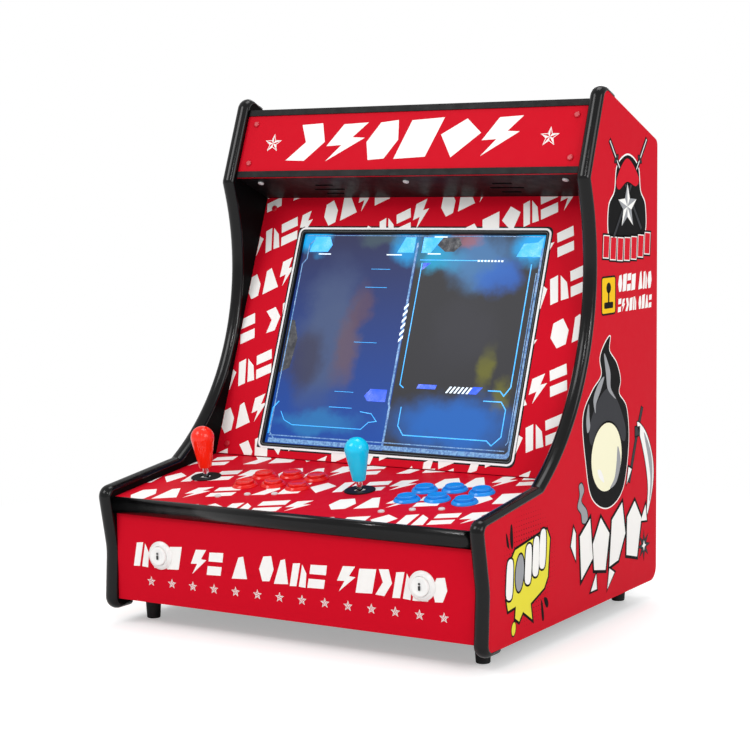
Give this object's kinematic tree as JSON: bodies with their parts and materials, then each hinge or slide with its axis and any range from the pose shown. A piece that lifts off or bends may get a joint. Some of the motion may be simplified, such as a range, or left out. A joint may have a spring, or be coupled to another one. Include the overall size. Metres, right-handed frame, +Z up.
{
  "type": "bartop arcade cabinet",
  "caption": "Tabletop two-player arcade cabinet with joysticks, push buttons, a leaning screen, a marquee and a hinged rear door.",
  "frame": {"origin": "middle of the footprint, on the surface that the feet stand on", "axes": "+X to the player's right, +Y to the back, +Z up"},
  "size_m": [0.56, 0.4975, 0.6814],
  "materials": {
    "panel_laminate": "satin red printed laminate over board",
    "edge_strip": "glossy black edge moulding",
    "black_board": "black laminated board",
    "black_plastic": "fine moulded texture",
    "display": "lit display behind a matt polariser",
    "steel_sheet": "galvanised sheet",
    "black_steel": "black painted steel",
    "marquee_acrylic": "gloss red translucent acrylic",
    "black_metal": "satin black painted aluminium",
    "lamp": "frosted diffuser",
    "timber": "planed softwood",
    "hinge_steel": "zinc plated",
    "lock_chrome": "polished",
    "rocker_plastic": "gloss black",
    "foot_rubber": "matt rubber",
    "red_button": "gloss moulded red",
    "blue_button": "gloss moulded blue",
    "white_button": "gloss moulded white",
    "switch_plastic": "moulded black",
    "spring_steel": "bright spring wire",
    "collar_plastic": "natural nylon",
    "shaft_steel": "polished shaft",
    "red_bat": "gloss moulded red",
    "cyan_bat": "gloss moulded cyan",
    "screw_steel": "bright zinc, part painted red",
    "circuit": "solder mask green"
  },
  "bodies": {
    "cabinet": {"left_side_panel": "panel_laminate", "right_side_panel": "panel_laminate", "edge_trims": "edge_strip", "base_board": "black_board", "front_board": "panel_laminate", "control_board": "panel_laminate", "bezel_board": "panel_laminate", "speaker_board": "black_board", "top_board": "panel_laminate", "rear_boards": "black_board", "screen_frame": "black_plastic", "display_panel": "display", "display_chassis": "steel_sheet", "monitor_rails": "steel_sheet", "speakers": "black_steel", "marquee_panel": "marquee_acrylic", "marquee_strips": "black_metal", "marquee_lamp": "lamp", "corner_battens": "timber", "fixed_hinge_leaves": "hinge_steel", "hinge_pins": "hinge_steel", "mains_inlet": "black_plastic", "rubber_feet": "foot_rubber", "p1_button_housings": "red_button", "p2_button_housings": "blue_button", "start_button_housings": "white_button", "button_nuts": "black_plastic", "microswitches": "switch_plastic", "stick_housings": "black_plastic", "stick_gates": "black_plastic", "stick_springs": "spring_steel", "dust_washers": "black_plastic", "panel_screws": "screw_steel", "game_board": "circuit", "power_supply": "steel_sheet"},
    "p1_button_1": {"p1_button_1": "red_button"},
    "p1_button_2": {"p1_button_2": "red_button"},
    "p1_button_3": {"p1_button_3": "red_button"},
    "p1_button_4": {"p1_button_4": "red_button"},
    "p1_button_5": {"p1_button_5": "red_button"},
    "p1_button_6": {"p1_button_6": "red_button"},
    "p2_button_1": {"p2_button_1": "blue_button"},
    "p2_button_2": {"p2_button_2": "blue_button"},
    "p2_button_3": {"p2_button_3": "blue_button"},
    "p2_button_4": {"p2_button_4": "blue_button"},
    "p2_button_5": {"p2_button_5": "blue_button"},
    "p2_button_6": {"p2_button_6": "blue_button"},
    "start_button_1": {"start_button_1": "white_button"},
    "start_button_2": {"start_button_2": "white_button"},
    "p1_pivot": {"p1_pivot_collar": "collar_plastic"},
    "p1_stick": {"p1_stick_shaft": "shaft_steel", "p1_bat_top": "red_bat"},
    "p2_pivot": {"p2_pivot_collar": "collar_plastic"},
    "p2_stick": {"p2_stick_shaft": "shaft_steel", "p2_bat_top": "cyan_bat"},
    "door": {"back_door": "black_board", "door_hinge_leaves": "hinge_steel", "lock_barrel": "lock_chrome"},
    "lock": {"lock_cam": "lock_chrome"},
    "rocker": {"power_rocker": "rocker_plastic"}
  },
  "joints": [
    {"name": "p1_button_1_press", "type": "slide", "parent": "cabinet", "child": "p1_button_1", "axis": [0, 0.1236, -0.9923], "range_m": [0, 0.003], "stiffness_N_per_m": 250, "springref_m": -0.003},
    {"name": "p1_button_2_press", "type": "slide", "parent": "cabinet", "child": "p1_button_2", "axis": [0, 0.1236, -0.9923], "range_m": [0, 0.003], "stiffness_N_per_m": 250, "springref_m": -0.003},
    {"name": "p1_button_3_press", "type": "slide", "parent": "cabinet", "child": "p1_button_3", "axis": [0, 0.1236, -0.9923], "range_m": [0, 0.003], "stiffness_N_per_m": 250, "springref_m": -0.003},
    {"name": "p1_button_4_press", "type": "slide", "parent": "cabinet", "child": "p1_button_4", "axis": [0, 0.1236, -0.9923], "range_m": [0, 0.003], "stiffness_N_per_m": 250, "springref_m": -0.003},
    {"name": "p1_button_5_press", "type": "slide", "parent": "cabinet", "child": "p1_button_5", "axis": [0, 0.1236, -0.9923], "range_m": [0, 0.003], "stiffness_N_per_m": 250, "springref_m": -0.003},
    {"name": "p1_button_6_press", "type": "slide", "parent": "cabinet", "child": "p1_button_6", "axis": [0, 0.1236, -0.9923], "range_m": [0, 0.003], "stiffness_N_per_m": 250, "springref_m": -0.003},
    {"name": "p2_button_1_press", "type": "slide", "parent": "cabinet", "child": "p2_button_1", "axis": [0, 0.1236, -0.9923], "range_m": [0, 0.003], "stiffness_N_per_m": 250, "springref_m": -0.003},
    {"name": "p2_button_2_press", "type": "slide", "parent": "cabinet", "child": "p2_button_2", "axis": [0, 0.1236, -0.9923], "range_m": [0, 0.003], "stiffness_N_per_m": 250, "springref_m": -0.003},
    {"name": "p2_button_3_press", "type": "slide", "parent": "cabinet", "child": "p2_button_3", "axis": [0, 0.1236, -0.9923], "range_m": [0, 0.003], "stiffness_N_per_m": 250, "springref_m": -0.003},
    {"name": "p2_button_4_press", "type": "slide", "parent": "cabinet", "child": "p2_button_4", "axis": [0, 0.1236, -0.9923], "range_m": [0, 0.003], "stiffness_N_per_m": 250, "springref_m": -0.003},
    {"name": "p2_button_5_press", "type": "slide", "parent": "cabinet", "child": "p2_button_5", "axis": [0, 0.1236, -0.9923], "range_m": [0, 0.003], "stiffness_N_per_m": 250, "springref_m": -0.003},
    {"name": "p2_button_6_press", "type": "slide", "parent": "cabinet", "child": "p2_button_6", "axis": [0, 0.1236, -0.9923], "range_m": [0, 0.003], "stiffness_N_per_m": 250, "springref_m": -0.003},
    {"name": "start_button_1_press", "type": "slide", "parent": "cabinet", "child": "start_button_1", "axis": [0, 1, 0], "range_m": [0, 0.003], "stiffness_N_per_m": 250, "springref_m": -0.003},
    {"name": "start_button_2_press", "type": "slide", "parent": "cabinet", "child": "start_button_2", "axis": [0, 1, 0], "range_m": [0, 0.003], "stiffness_N_per_m": 250, "springref_m": -0.003},
    {"name": "p1_stick_fore_aft", "type": "hinge", "parent": "cabinet", "child": "p1_pivot", "pos_m": [-0.199, -0.12157, 0.16621], "axis": [1, 0, 0], "range_deg": [-8, 8], "stiffness_Nm_per_rad": 1.2, "deforming": ["stick_springs"]},
    {"name": "p1_stick_side", "type": "hinge", "parent": "p1_pivot", "child": "p1_stick", "pos_m": [-0.199, -0.12157, 0.16621], "axis": [0, 0.9923, 0.1236], "range_deg": [-8, 8], "stiffness_Nm_per_rad": 1.2, "deforming": ["stick_springs"]},
    {"name": "p2_stick_fore_aft", "type": "hinge", "parent": "cabinet", "child": "p2_pivot", "pos_m": [0.0395, -0.12157, 0.16621], "axis": [1, 0, 0], "range_deg": [-8, 8], "stiffness_Nm_per_rad": 1.2, "deforming": ["stick_springs"]},
    {"name": "p2_stick_side", "type": "hinge", "parent": "p2_pivot", "child": "p2_stick", "pos_m": [0.0395, -0.12157, 0.16621], "axis": [0, 0.9923, 0.1236], "range_deg": [-8, 8], "stiffness_Nm_per_rad": 1.2, "deforming": ["stick_springs"]},
    {"name": "door_swing", "type": "hinge", "parent": "cabinet", "child": "door", "pos_m": [-0.259, 0.23975, 0.315], "axis": [0, 0, 1], "range_deg": [0, 105]},
    {"name": "lock_turn", "type": "hinge", "parent": "door", "child": "lock", "pos_m": [0.225, 0.23645, 0.315], "axis": [0, -1, 0], "range_deg": [0, 90]},
    {"name": "power_rock", "type": "hinge", "parent": "cabinet", "child": "rocker", "pos_m": [-0.194, 0.23345, 0.074], "axis": [1, 0, 0], "range_deg": [0, 12]}
  ]
}
